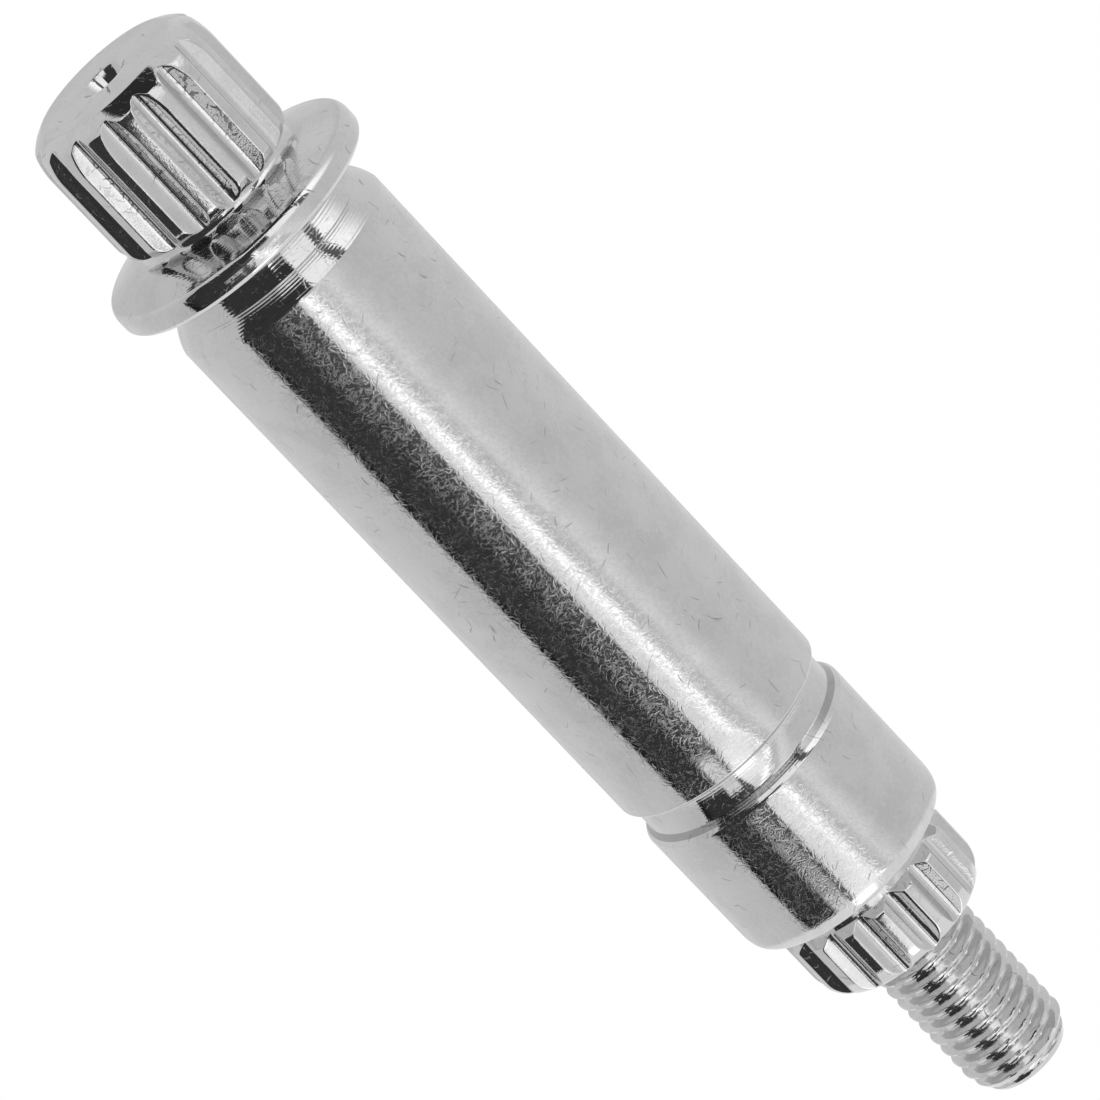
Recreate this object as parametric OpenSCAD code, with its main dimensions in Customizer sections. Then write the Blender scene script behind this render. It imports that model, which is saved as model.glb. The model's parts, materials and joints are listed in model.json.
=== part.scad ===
// Splined drive shaft: one steel solid that stands on its splined head.
// Lengths are in millimetres and z runs from the head's face to the threaded end.

/* [Splines] */
// Number of teeth on each spline
tooth_count = 16; // [12:1:20]
// Diameter over the teeth of the head
head_spline_diameter = 20.8; // [20:0.1:22]
// Diameter over the teeth of the hub seat, behind the thread
hub_spline_diameter = 20.6; // [20:0.1:22]
// Diameter at the bottom of the tooth spaces
root_diameter = 18.4; // [18:0.1:19]
// Width of the flat crest of a tooth
crest_width = 1.15; // [0.6:0.05:1.6]
// Angle of a flank from the centre line of its tooth
flank_angle = 36; // [30:1:40]

/* [Head] */
// Diameter of the flat end face
face_diameter = 16; // [13:0.1:17.8]
// Length of the nose
nose_length = 1.4; // [0.5:0.1:3]
// Diameter at the end of the nose, where the crests of the teeth begin
nose_diameter = 19.9; // [18:0.1:20.5]
// Length over which the crests rise to full height
crown_length = 2.8; // [0.5:0.1:5]
// Length of the full-height teeth of the head
head_crest_length = 9.2; // [4:0.1:20]
// Length over which the teeth of the head run out
head_run_out_length = 1.6; // [1:0.1:4]

/* [Flange] */
// Diameter of the flange
flange_diameter = 30; // [27:0.1:40]
// Height of the fillet between the neck and the flange
front_fillet_height = 0.8; // [0.3:0.1:2]
// Radial reach of that fillet
front_fillet_reach = 1.1; // [0.5:0.1:2]
// Height of the sloping front of the flange
front_slope_height = 1.5; // [0.5:0.1:4]
// Height of the rounding at the front of the rim
rim_front_height = 1.1; // [0.4:0.1:2]
// Radial depth of the rounding at the front of the rim
rim_front_depth = 0.6; // [0.3:0.1:1.5]
// Length of the straight part of the rim
rim_length = 0.9; // [0.2:0.1:6]
// Height of the rounding at the back of the rim
rim_back_height = 0.6; // [0.3:0.1:2]
// Radial depth of the rounding at the back of the rim
rim_back_depth = 0.6; // [0.3:0.1:1.5]

/* [Journal] */
// Diameter of the bearing journal
journal_diameter = 25; // [24:0.1:26]
// Length of the bearing journal
journal_length = 65.9; // [30:0.1:120]
// Edge break at the end of the journal
journal_edge = 0.4; // [0.1:0.05:0.6]
// Diameter of the undercut behind the flange
undercut_diameter = 21.6; // [20:0.1:22]
// Length of the undercut behind the flange
undercut_length = 0.9; // [0.5:0.1:3]
// Diameter at the start of the turned lead-in
lead_diameter = 22.56; // [22:0.02:23.6]
// Length of the slope between the undercut and the lead-in
lead_slope_length = 2.2; // [0.5:0.1:4]
// Length of the turned lead-in
lead_length = 2.4; // [1:0.1:8]

/* [Collar] */
// Diameter of the floor of the ring groove
groove_diameter = 23.3; // [20:0.1:23.6]
// Width of the floor of the ring groove
groove_width = 3; // [1:0.1:6]
// Length of the sloping wall of the ring groove
groove_slope_length = 1.1; // [0.3:0.1:3]
// Diameter of the collar
collar_diameter = 25; // [24:0.1:26]
// Length of the collar with its rounded end
collar_length = 15.7; // [8:0.1:40]
// Length of the rounded end of the collar
collar_round_length = 1.75; // [0.5:0.05:3]
// Radial depth of the rounded end of the collar
collar_round_depth = 0.46; // [0.2:0.02:1]

/* [Hub seat] */
// Length of the relief between the collar and the teeth
relief_length = 2; // [0.5:0.1:4]
// Length of the slope at the start of the teeth
hub_slope_length = 0.8; // [0.5:0.1:3]
// Length of the full-height teeth of the hub seat
hub_crest_length = 4.7; // [2:0.1:20]
// Length of the rounded end of the teeth
hub_round_length = 2.5; // [1:0.1:4]
// Diameter of the shoulder at the thread
shoulder_diameter = 17.4; // [14:0.1:19]

/* [Thread] */
// Outside diameter of the thread
thread_diameter = 12; // [10:0.1:13]
// Length of the thread
thread_length = 17.7; // [8:0.1:40]
// Length of the chamfer at the end of the thread
thread_chamfer_length = 2.2; // [0.5:0.1:4]
// Diameter at the end of the thread
thread_end_diameter = 9.5; // [7:0.1:9.8]

/* [Centre holes] */
// Diameter of the countersink of the centre holes
centre_diameter = 5.3; // [3.4:0.05:6]
// Diameter of the pilot of the centre holes
pilot_diameter = 2.5; // [1.6:0.05:3]
// Depth of the centre holes
pilot_depth = 5; // [4.5:0.1:8]

/* [Hidden] */

// Radial step from the bottom of the tooth spaces to the necks, so that the spaces run out freely
neck_step = 0.05;
// Straight neck between the teeth of the head and the flange
neck_length = 0.2;
// Share of the mean slope that is left at the end of the nose and of the lead-in
nose_end_slope = 0.5;
lead_end_slope = 0.5;
// Smallest rounding at the bottom of a tooth space
least_root_round = 0.1;
// Segments of each rounded edge
round_steps = 8;
// Angle of the countersink and of the drill's point, from the axis
countersink_angle = 30;
drill_point_angle = 59;
// Reach of a cutter past the solid that it cuts
overcut = 1;
circle_segments = 96;
steel = [0.78, 0.79, 0.8];

neck_radius = root_diameter / 2 - neck_step;
head_radius = head_spline_diameter / 2;
hub_radius = hub_spline_diameter / 2;
flange_radius = flange_diameter / 2;
journal_radius = journal_diameter / 2;
collar_radius = collar_diameter / 2;
thread_radius = thread_diameter / 2;
lead_radius = lead_diameter / 2;

nose_top = nose_length;
crown_top = nose_top + crown_length;
crest_top = crown_top + head_crest_length;
run_out_top = crest_top + head_run_out_length;
neck_top = run_out_top + neck_length;
fillet_top = neck_top + front_fillet_height;
slope_top = fillet_top + front_slope_height;
rim_bottom = slope_top + rim_front_height;
rim_top = rim_bottom + rim_length;
flange_top = rim_top + rim_back_height;
undercut_top = flange_top + undercut_length;
lead_bottom = undercut_top + lead_slope_length;
journal_bottom = lead_bottom + lead_length;
journal_top = journal_bottom + journal_length;
groove_top = journal_top + groove_width;
collar_bottom = groove_top + groove_slope_length;
collar_top = collar_bottom + collar_length;
relief_top = collar_top + relief_length;
hub_crest_bottom = relief_top + hub_slope_length;
hub_crest_top = hub_crest_bottom + hub_crest_length;
hub_top = hub_crest_top + hub_round_length;
thread_top = hub_top + thread_length;
shaft_top = thread_top + thread_chamfer_length;

half_pitch = 180 / tooth_count;

// Points of a quarter of an ellipse that leaves the point a along r and reaches the point b along z
function round_out(a, b) = [
    for (i = [0 : round_steps])
        let (t = 90 * i / round_steps)
            [a[0] + (b[0] - a[0]) * sin(t), a[1] + (b[1] - a[1]) * (1 - cos(t))]
];

// Points of a quarter of an ellipse that leaves the point a along z and reaches the point b along r
function round_in(a, b) = [
    for (i = [0 : round_steps])
        let (t = 90 * i / round_steps)
            [a[0] + (b[0] - a[0]) * (1 - cos(t)), a[1] + (b[1] - a[1]) * sin(t)]
];

// Points of a parabola from the point a to the point b that keeps a share of its mean slope at b
function ease_out(a, b, end_slope) = [
    for (i = [0 : round_steps])
        let (t = i / round_steps)
            [a[0] + (b[0] - a[0]) * t * (1 + (1 - end_slope) * (1 - t)), a[1] + (b[1] - a[1]) * t]
];

// A list of points without its first
function after_first(points) = [for (i = [1 : len(points) - 1]) points[i]];

// Half section of the shaft before the tooth spaces are cut
module half_section() {
    head = concat(
        [[0, 0]],
        ease_out([face_diameter / 2, 0], [nose_diameter / 2, nose_top], nose_end_slope),
        after_first(ease_out([nose_diameter / 2, nose_top], [head_radius, crown_top], 0)),
        round_in([head_radius, crest_top], [neck_radius, run_out_top])
    );
    flange = concat(
        round_in([neck_radius, neck_top], [neck_radius + front_fillet_reach, fillet_top]),
        round_out([flange_radius - rim_front_depth, slope_top], [flange_radius, rim_bottom]),
        round_in([flange_radius, rim_top], [flange_radius - rim_back_depth, flange_top])
    );
    journal = concat(
        [[undercut_diameter / 2, flange_top]],
        [[undercut_diameter / 2, undercut_top]],
        ease_out([lead_radius, lead_bottom], [journal_radius, journal_bottom], lead_end_slope),
        [[journal_radius, journal_top - journal_edge]],
        [[journal_radius - journal_edge, journal_top]]
    );
    collar = concat(
        [[groove_diameter / 2, journal_top]],
        [[groove_diameter / 2, groove_top]],
        [[collar_radius, collar_bottom]],
        round_in(
            [collar_radius, collar_top - collar_round_length],
            [collar_radius - collar_round_depth, collar_top]
        )
    );
    hub = concat(
        [[neck_radius, collar_top]],
        [[neck_radius, relief_top]],
        [[hub_radius, hub_crest_bottom]],
        round_in([hub_radius, hub_crest_top], [shoulder_diameter / 2, hub_top])
    );
    thread = [
        [thread_radius, hub_top],
        [thread_radius, thread_top],
        [thread_end_diameter / 2, shaft_top],
        [0, shaft_top]
    ];
    polygon(concat(head, flange, journal, collar, hub, thread));
}

// Outline of one tooth space on the +x side of a spline of the given radius, with a full round root
module tooth_space(radius) {
    edge_angle = half_pitch - asin(crest_width / 2 / radius);
    wall_angle = flank_angle + half_pitch;
    apex = radius * cos(edge_angle) - radius * sin(edge_angle) / tan(wall_angle);
    root_round = max(least_root_round, (root_diameter / 2 - apex) / (1 / sin(wall_angle) - 1));
    root_centre = apex + root_round / sin(wall_angle);
    outer = radius + overcut;
    root_arc = [
        for (i = [-round_steps : round_steps])
            let (t = 180 + (90 - wall_angle) * i / round_steps)
                [root_centre + root_round * cos(t), root_round * sin(t)]
    ];
    mouth = (outer - apex) * tan(wall_angle);
    polygon(concat(root_arc, [[outer, -mouth], [outer, mouth]]));
}

// Cutter for all the tooth spaces between two heights
module spline_cutter(radius, bottom, top) {
    translate([0, 0, bottom])
        linear_extrude(height = top - bottom)
            for (i = [0 : tooth_count - 1])
                rotate((i + 0.5) * 360 / tooth_count)
                    tooth_space(radius);
}

// Countersunk centre hole that enters at the origin and runs along +z
module centre_hole() {
    sink_depth = (centre_diameter - pilot_diameter) / 2 / tan(countersink_angle);
    point_depth = pilot_diameter / 2 / tan(drill_point_angle);
    mouth_spread = overcut * tan(countersink_angle);
    translate([0, 0, -overcut])
        cylinder(
            h = sink_depth + overcut,
            r1 = centre_diameter / 2 + mouth_spread,
            r2 = pilot_diameter / 2,
            $fn = circle_segments
        );
    cylinder(h = pilot_depth, r = pilot_diameter / 2, $fn = circle_segments);
    translate([0, 0, pilot_depth])
        cylinder(h = point_depth, r1 = pilot_diameter / 2, r2 = 0, $fn = circle_segments);
}

module drive_shaft() {
    color(steel)
        difference() {
            rotate_extrude($fn = circle_segments)
                half_section();
            spline_cutter(head_radius, -overcut, run_out_top + neck_length / 2);
            spline_cutter(hub_radius, collar_top + relief_length / 2, hub_top + overcut);
            centre_hole();
            translate([0, 0, shaft_top])
                mirror([0, 0, 1])
                    centre_hole();
        }
}

drive_shaft();
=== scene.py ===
"""Dresses the splined drive shaft: a turned blank with rolled teeth and thread, plated with bright zinc."""
import json
import logging
import math
from dataclasses import dataclass, field
from enum import Enum, IntEnum

import bpy
from mathutils import Matrix, Vector


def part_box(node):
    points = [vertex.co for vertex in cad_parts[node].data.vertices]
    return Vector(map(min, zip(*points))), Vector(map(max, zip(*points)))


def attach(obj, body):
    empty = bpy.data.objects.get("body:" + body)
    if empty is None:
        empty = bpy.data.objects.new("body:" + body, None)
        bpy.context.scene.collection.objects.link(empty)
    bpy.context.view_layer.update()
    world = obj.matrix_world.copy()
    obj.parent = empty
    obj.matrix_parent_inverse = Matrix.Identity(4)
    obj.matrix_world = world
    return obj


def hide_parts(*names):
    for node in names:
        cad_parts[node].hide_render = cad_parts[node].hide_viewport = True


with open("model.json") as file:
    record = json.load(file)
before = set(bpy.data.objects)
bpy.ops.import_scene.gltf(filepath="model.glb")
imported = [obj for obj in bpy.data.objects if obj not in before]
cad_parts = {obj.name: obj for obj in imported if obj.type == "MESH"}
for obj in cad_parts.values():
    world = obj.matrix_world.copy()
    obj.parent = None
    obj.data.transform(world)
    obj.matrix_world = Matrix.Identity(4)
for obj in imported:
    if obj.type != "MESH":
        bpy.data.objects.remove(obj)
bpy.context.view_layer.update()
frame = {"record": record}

LOG = logging.getLogger("drive_shaft")
MM = 0.001
NODE = "drive_shaft"
CAMERA_AZIMUTH = -96.3

CREST_EDGE_SHARE = 0.36
TOOTH_SHARES = (0.0, 0.14, 0.25, 0.31, 0.34, CREST_EDGE_SHARE, 0.38, 0.41, 0.46, 0.54, 0.63, 0.74, 0.87, 1.0)
CREST_FADE = (0.36, 0.28)
NOSE_FADE = (0.00135, 0.0015)

Point = tuple[float, float]


class Form(IntEnum):
    """How the surface of a stretch of the shaft was made."""

    PLAIN = 0
    HEAD_TEETH = 1
    HUB_TEETH = 2
    THREAD = 3


class Zone(IntEnum):
    """Which finish a stretch of the shaft has; the value is its material's place in the mesh."""

    GROUND = 0
    TURNED = 1
    ROLLED = 2
    THREADED = 3
    BANDED = 4
    SEAT = 5
    # The groove wall's finish has a darker colour: painted shade in the recess of the groove.
    GROOVE_PAINTED_SHADE = 6
    FACED = 7


class Density(Enum):
    """Columns of faces round the shaft on each kind of stretch."""

    BORE = 48
    PLAIN = 192
    THREAD = 128


def record_mount(name: str) -> dict:
    """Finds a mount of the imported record.

    Args:
        name: The mount's name.

    Returns:
        The mount's entry.
    """
    return next(m for m in frame["record"]["mounts"] if m["name"] == name)


class Formula:
    """A number that Math nodes of a node tree work out."""

    def __init__(self, tree: bpy.types.NodeTree, socket: bpy.types.NodeSocket) -> None:
        """Wraps an output socket of the tree."""
        self.tree = tree
        self.socket = socket

    def apply(self, operation: str, *others: "Formula | float") -> "Formula":
        """Adds one Math node.

        Args:
            operation: The Math node's operation.
            others: The operands after this one.

        Returns:
            The node's result.
        """
        node = self.tree.nodes.new("ShaderNodeMath")
        node.operation = operation
        for socket, value in zip(node.inputs, (self, *others)):
            if isinstance(value, Formula):
                self.tree.links.new(value.socket, socket)
            else:
                socket.default_value = value
        return Formula(self.tree, node.outputs[0])

    def flipped(self, operation: str, first: float) -> "Formula":
        """Adds one Math node with a plain number before this operand.

        Args:
            operation: The Math node's operation.
            first: The first operand.

        Returns:
            The node's result.
        """
        result = self.apply(operation)
        node = result.socket.node
        self.tree.links.remove(node.inputs[0].links[0])
        node.inputs[0].default_value = first
        self.tree.links.new(self.socket, node.inputs[1])
        return result

    def __add__(self, other: "Formula | float") -> "Formula":
        """Sum."""
        return self.apply("ADD", other)

    def __sub__(self, other: "Formula | float") -> "Formula":
        """Difference."""
        return self.apply("SUBTRACT", other)

    def __mul__(self, other: "Formula | float") -> "Formula":
        """Product."""
        return self.apply("MULTIPLY", other)

    def __truediv__(self, other: "Formula | float") -> "Formula":
        """Quotient."""
        return self.apply("DIVIDE", other)

    def __rsub__(self, first: float) -> "Formula":
        """A plain number less this one."""
        return self.flipped("SUBTRACT", first)

    def __rtruediv__(self, first: float) -> "Formula":
        """A plain number over this one."""
        return self.flipped("DIVIDE", first)

    __radd__ = __add__
    __rmul__ = __mul__

    def sine(self) -> "Formula":
        """Sine of an angle in radians."""
        return self.apply("SINE")

    def cosine(self) -> "Formula":
        """Cosine of an angle in radians."""
        return self.apply("COSINE")

    def arcsine(self) -> "Formula":
        """Angle with this sine."""
        return self.apply("ARCSINE")

    def arccosine(self) -> "Formula":
        """Angle with this cosine."""
        return self.apply("ARCCOSINE")

    def root(self) -> "Formula":
        """Square root."""
        return self.apply("SQRT")

    def square(self) -> "Formula":
        """This number times itself."""
        return self.apply("MULTIPLY", self)

    def size(self) -> "Formula":
        """Absolute value."""
        return self.apply("ABSOLUTE")

    def sign(self) -> "Formula":
        """Minus one, zero or one."""
        return self.apply("SIGN")

    def fraction(self) -> "Formula":
        """Part after the whole number."""
        return self.apply("FRACT")

    def least(self, other: "Formula | float") -> "Formula":
        """The smaller of two."""
        return self.apply("MINIMUM", other)

    def most(self, other: "Formula | float") -> "Formula":
        """The larger of two."""
        return self.apply("MAXIMUM", other)

    def under(self, other: "Formula | float") -> "Formula":
        """One where this number is under the other, and zero elsewhere."""
        return self.apply("LESS_THAN", other)

    def over(self, other: "Formula | float") -> "Formula":
        """One where this number is over the other, and zero elsewhere."""
        return self.apply("GREATER_THAN", other)

    def kept(self) -> "Formula":
        """This number held between zero and one."""
        result = self.apply("ADD", 0.0)
        result.socket.node.use_clamp = True
        return result

    def angle_with(self, along: "Formula") -> "Formula":
        """Angle of the vector (along, this number)."""
        return self.apply("ARCTAN2", along)

    def pick(self, here: "Formula", there: "Formula") -> "Formula":
        """Chooses by this mask.

        Args:
            here: The value where the mask is one.
            there: The value where the mask is zero.

        Returns:
            The chosen value.
        """
        return here * self + there * (1.0 - self)

    def step(self, start: float, end: float) -> "Formula":
        """Smooth rise from zero at start to one at end."""
        node = self.tree.nodes.new("ShaderNodeMapRange")
        node.interpolation_type = "SMOOTHSTEP"
        node.inputs["From Min"].default_value = start
        node.inputs["From Max"].default_value = end
        self.tree.links.new(self.socket, node.inputs["Value"])
        return Formula(self.tree, node.outputs["Result"])


def round_out(start: Point, end: Point, steps: int) -> list[Point]:
    """Quarter of an ellipse that leaves start along r and reaches end along z.

    Args:
        start: First (r, z) point.
        end: Last (r, z) point.
        steps: Number of segments.

    Returns:
        The points, both ends included.
    """
    turns = [math.pi / 2 * i / steps for i in range(steps + 1)]
    reach, rise = end[0] - start[0], end[1] - start[1]
    return [(start[0] + reach * math.sin(t), start[1] + rise * (1 - math.cos(t))) for t in turns]


def round_in(start: Point, end: Point, steps: int) -> list[Point]:
    """Quarter of an ellipse that leaves start along z and reaches end along r.

    Args:
        start: First (r, z) point.
        end: Last (r, z) point.
        steps: Number of segments.

    Returns:
        The points, both ends included.
    """
    turns = [math.pi / 2 * i / steps for i in range(steps + 1)]
    reach, rise = end[0] - start[0], end[1] - start[1]
    return [(start[0] + reach * (1 - math.cos(t)), start[1] + rise * math.sin(t)) for t in turns]


def ease_out(start: Point, end: Point, end_slope: float, steps: int) -> list[Point]:
    """Parabola that keeps a share of its mean slope at its end.

    Args:
        start: First (r, z) point.
        end: Last (r, z) point.
        end_slope: The share of the mean slope.
        steps: Number of segments.

    Returns:
        The points, both ends included.
    """
    shares = [i / steps for i in range(steps + 1)]
    reach, rise = end[0] - start[0], end[1] - start[1]
    return [(start[0] + reach * t * (1 + (1 - end_slope) * (1 - t)), start[1] + rise * t) for t in shares]


def straight(start: Point, end: Point, steps: int) -> list[Point]:
    """Straight line in equal segments.

    Args:
        start: First (r, z) point.
        end: Last (r, z) point.
        steps: Number of segments.

    Returns:
        The points, both ends included.
    """
    shares = [i / steps for i in range(steps + 1)]
    return [(start[0] + (end[0] - start[0]) * t, start[1] + (end[1] - start[1]) * t) for t in shares]


def corner(before: Point, at: Point, after: Point, radius: float, steps: int = 4) -> list[Point]:
    """Rounds a corner of the outline with an arc that touches both of its sides.

    Args:
        before: A point on the side that comes in.
        at: The corner.
        after: A point on the side that goes out.
        radius: The arc's radius.
        steps: Number of segments.

    Returns:
        The arc's points.
    """
    a = (Vector(before) - Vector(at)).normalized()
    b = (Vector(after) - Vector(at)).normalized()
    half = a.angle(b) / 2
    first = Vector(at) + a * (radius / math.tan(half))
    last = Vector(at) + b * (radius / math.tan(half))
    centre = Vector(at) + (a + b).normalized() * (radius / math.sin(half))
    start, end = first - centre, last - centre
    sweep = math.atan2(start.x * end.y - start.y * end.x, start.dot(end))
    turned = (Matrix.Rotation(sweep * i / steps, 2) @ start + centre for i in range(steps + 1))
    return [(p.x, p.y) for p in turned]


@dataclass(frozen=True)
class Stretch:
    """A run of rows of the shaft that share their form and finish."""

    points: list[Point]
    form: Form
    zone: Zone
    columns: int


@dataclass
class TurnedBlank:
    """The shaft before rolling: sizes in millimetres, with z from the head's face to the threaded end."""

    journal: dict = field(default_factory=lambda: record_mount("bearing_journal"))
    collar: dict = field(default_factory=lambda: record_mount("collar_seat"))
    screw: dict = field(default_factory=lambda: record_mount("thread"))
    face_radius: float = 8.0
    nose_radius: float = 9.95
    head_radius: float = 10.4
    hub_radius: float = 10.3
    neck_radius: float = 9.15
    nose_top: float = 1.4
    nose_end_slope: float = 0.5
    crown_top: float = 4.2
    crest_top: float = 13.4
    run_out_top: float = 15.0
    neck_top: float = 15.2
    fillet_top: float = 16.0
    fillet_reach: float = 1.1
    slope_top: float = 17.5
    rim_bottom: float = 18.6
    rim_top: float = 19.5
    flange_top: float = 20.1
    rim_front_depth: float = 0.6
    rim_back_depth: float = 0.6
    undercut_radius: float = 10.8
    undercut_top: float = 21.0
    lead_radius: float = 11.28
    lead_bottom: float = 23.2
    lead_end_slope: float = 0.5
    journal_edge: float = 0.4
    groove_radius: float = 11.65
    groove_top: float = 94.5
    collar_round_length: float = 1.75
    collar_round_depth: float = 0.46
    relief_top: float = 113.3
    hub_crest_bottom: float = 114.1
    hub_crest_top: float = 118.8
    shoulder_radius: float = 8.7
    tip_radius: float = 4.75
    sink_radius: float = 2.65
    pilot_radius: float = 1.25
    pilot_depth: float = 5.0
    edge_radius: float = 0.12
    drill_half_angle: float = 59.0
    sink_half_angle: float = 30.0
    face_inner: float = 3.4
    face_margin: float = 0.2
    face_round: float = 0.25
    undercut_round: float = 0.4
    journal_gap: float = 0.15
    journal_round: float = 0.25
    groove_rounds: tuple[float, float, float] = (0.1, 0.15, 0.2)
    groove_wall_shares: tuple[float, float] = (0.2, 0.6)
    groove_edge_round: float = 0.45
    collar_gap: float = 0.5
    relief_round: float = 0.3
    hub_knee_round: float = 0.5
    shoulder_round: float = 0.25
    thread_gap: float = 0.3
    tooth_count: int = 16
    rows_per_turn: int = 14
    thread_pitch: float = 1.75

    def __post_init__(self) -> None:
        """Takes the heights and radii that the frame states."""
        low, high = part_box(NODE)
        self.shaft_top = (high.z - low.z) / MM
        self.flange_radius = (high.x - low.x) / MM / 2
        self.journal_radius = self.journal["dims"]["r_mm"]
        self.journal_bottom, journal_end = self.span(self.journal)
        self.journal_top = journal_end + self.journal_edge
        self.collar_radius = self.collar["dims"]["r_mm"]
        self.collar_bottom, collar_end = self.span(self.collar)
        self.collar_top = collar_end + self.collar_round_length
        self.thread_radius = self.screw["dims"]["r_mm"]
        self.hub_top, self.thread_top = self.span(self.screw)

    @staticmethod
    def span(mount: dict) -> Point:
        """Lowest and highest z of a round mount, in millimetres."""
        middle = mount["pos_m"][2] / MM
        half = mount["dims"]["length_mm"] / 2
        return middle - half, middle + half

    def head_bore(self) -> list[Point]:
        """Centre hole in the head, from its point to its mouth."""
        point = self.pilot_depth + self.pilot_radius / math.tan(math.radians(self.drill_half_angle))
        sink = (self.sink_radius - self.pilot_radius) / math.tan(math.radians(self.sink_half_angle))
        mouth = corner(
            (self.pilot_radius, sink), (self.sink_radius, 0), (self.face_radius, 0), self.edge_radius
        )
        return [(0.0, point), (self.pilot_radius, self.pilot_depth), (self.pilot_radius, sink), *mouth]

    def tail_bore(self) -> list[Point]:
        """Centre hole in the threaded end, from its mouth to its point."""
        return [(r, self.shaft_top - z) for r, z in reversed(self.head_bore())]

    def face(self) -> list[Point]:
        """Flat face of the head, round the centre hole."""
        return straight((self.face_inner, 0), (self.face_radius - self.face_margin, 0), 3)

    def head(self) -> list[Point]:
        """Nose, crown, crest and run-out of the head."""
        tip, shoulder = (self.face_radius, 0.0), (self.nose_radius, self.nose_top)
        full, end = (self.head_radius, self.crown_top), (self.head_radius, self.crest_top)
        nose = ease_out(tip, shoulder, self.nose_end_slope, 14)
        crown = ease_out(shoulder, full, 0.0, 14)
        edge = corner((self.sink_radius, 0.0), tip, nose[1], self.face_round, 3)
        fade = round_in(end, (self.neck_radius, self.run_out_top), 20)
        return edge + nose[1:] + crown[1:] + straight(full, end, 6)[1:] + fade[1:]

    def flange(self) -> list[Point]:
        """Neck and sloping front of the flange."""
        fillet_end = (self.neck_radius + self.fillet_reach, self.fillet_top)
        rim_front = self.flange_radius - self.rim_front_depth
        return [
            *round_in((self.neck_radius, self.neck_top), fillet_end, 8),
            *straight(fillet_end, (rim_front, self.slope_top), 6)[1:],
        ]

    def rim(self) -> list[Point]:
        """Rounded rim of the flange."""
        rim_front = self.flange_radius - self.rim_front_depth
        rim_back = self.flange_radius - self.rim_back_depth
        return [
            *round_out((rim_front, self.slope_top), (self.flange_radius, self.rim_bottom), 10)[1:],
            *round_in((self.flange_radius, self.rim_top), (rim_back, self.flange_top), 10),
        ]

    def undercut(self) -> list[Point]:
        """Back of the flange, undercut and turned lead-in."""
        back = (self.flange_radius - self.rim_back_depth, self.flange_top)
        inner = (self.undercut_radius, self.flange_top)
        outer = (self.undercut_radius, self.undercut_top)
        lead = (self.lead_radius, self.lead_bottom)
        return [
            *corner(back, inner, outer, self.undercut_round, 6),
            *corner(inner, outer, lead, self.undercut_round, 4),
            *ease_out(lead, (self.journal_radius, self.journal_bottom), self.lead_end_slope, 14),
        ]

    def journal_wall(self) -> list[Point]:
        """Bearing journal up to the broken edge at the groove."""
        top = (self.journal_radius, self.journal_top - self.journal_edge)
        edge = (self.journal_radius - self.journal_edge, self.journal_top)
        wall = straight((self.journal_radius, self.journal_bottom + self.journal_gap), top, 16)
        return [*wall[:-1], *corner(wall[-2], top, edge, self.journal_round, 4)]

    def groove(self) -> list[Point]:
        """Floor of the ring groove."""
        edge = (self.journal_radius - self.journal_edge, self.journal_top)
        near = (self.groove_radius, self.journal_top)
        far = (self.groove_radius, self.groove_top)
        wall = (self.collar_radius, self.collar_bottom)
        outer, inner, last = self.groove_rounds
        return [
            *corner((self.journal_radius, self.journal_top - self.journal_edge), edge, near, outer, 3),
            *corner(edge, near, far, inner, 4),
            *corner(near, far, wall, last, 4),
        ]

    def groove_wall(self) -> list[Point]:
        """Inner half of the groove's sloping wall."""
        far = Vector((self.groove_radius, self.groove_top))
        wall = Vector((self.collar_radius, self.collar_bottom))
        start, end = (tuple(far.lerp(wall, share)) for share in self.groove_wall_shares)
        return straight(start, end, 3)

    def groove_edge(self) -> list[Point]:
        """Rounded edge between the groove's wall and the collar."""
        far = (self.groove_radius, self.groove_top)
        wall = (self.collar_radius, self.collar_bottom)
        return corner(far, wall, (self.collar_radius, self.collar_top), self.groove_edge_round, 6)

    def collar_wall(self) -> list[Point]:
        """Collar with its rounded end."""
        top = (self.collar_radius, self.collar_top - self.collar_round_length)
        end = (self.collar_radius - self.collar_round_depth, self.collar_top)
        wall = straight((self.collar_radius, self.collar_bottom + self.collar_gap), top, 6)
        return [*wall[:-1], *round_in(top, end, 10)]

    def relief(self) -> list[Point]:
        """End face of the collar and relief before the hub's teeth."""
        end = (self.collar_radius - self.collar_round_depth, self.collar_top)
        inner = (self.neck_radius, self.collar_top)
        outer = (self.neck_radius, self.relief_top)
        return corner(end, inner, outer, self.relief_round, 5)

    def hub(self) -> list[Point]:
        """Slope, crest and rounded end of the hub's teeth."""
        start = (self.neck_radius, self.relief_top)
        low = (self.hub_radius, self.hub_crest_bottom)
        high = (self.hub_radius, self.hub_crest_top)
        end = (self.shoulder_radius, self.hub_top)
        knee = corner(start, low, high, self.hub_knee_round, 4)
        return [
            *straight(start, knee[0], 8)[:-1],
            *knee,
            *straight(knee[-1], high, 4)[1:-1],
            *round_in(high, end, 18),
        ]

    def shoulder(self) -> list[Point]:
        """Shoulder between the hub's teeth and the thread."""
        end = (self.shoulder_radius, self.hub_top)
        inner = (self.thread_radius, self.hub_top)
        above = (self.thread_radius, self.thread_top)
        return corner(end, inner, above, self.shoulder_round, 5)

    def thread(self) -> list[Point]:
        """Thread and its end chamfer, in rows fine enough for the thread's form."""
        low = (self.thread_radius, self.hub_top + self.thread_gap)
        high = (self.thread_radius, self.thread_top)
        tip = (self.tip_radius, self.shaft_top)
        pitch = self.thread_pitch / self.rows_per_turn
        wall = straight(low, high, round((high[1] - low[1]) / pitch))
        chamfer = straight(high, tip, round((tip[1] - high[1]) / pitch))
        return wall + chamfer[1:]

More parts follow.
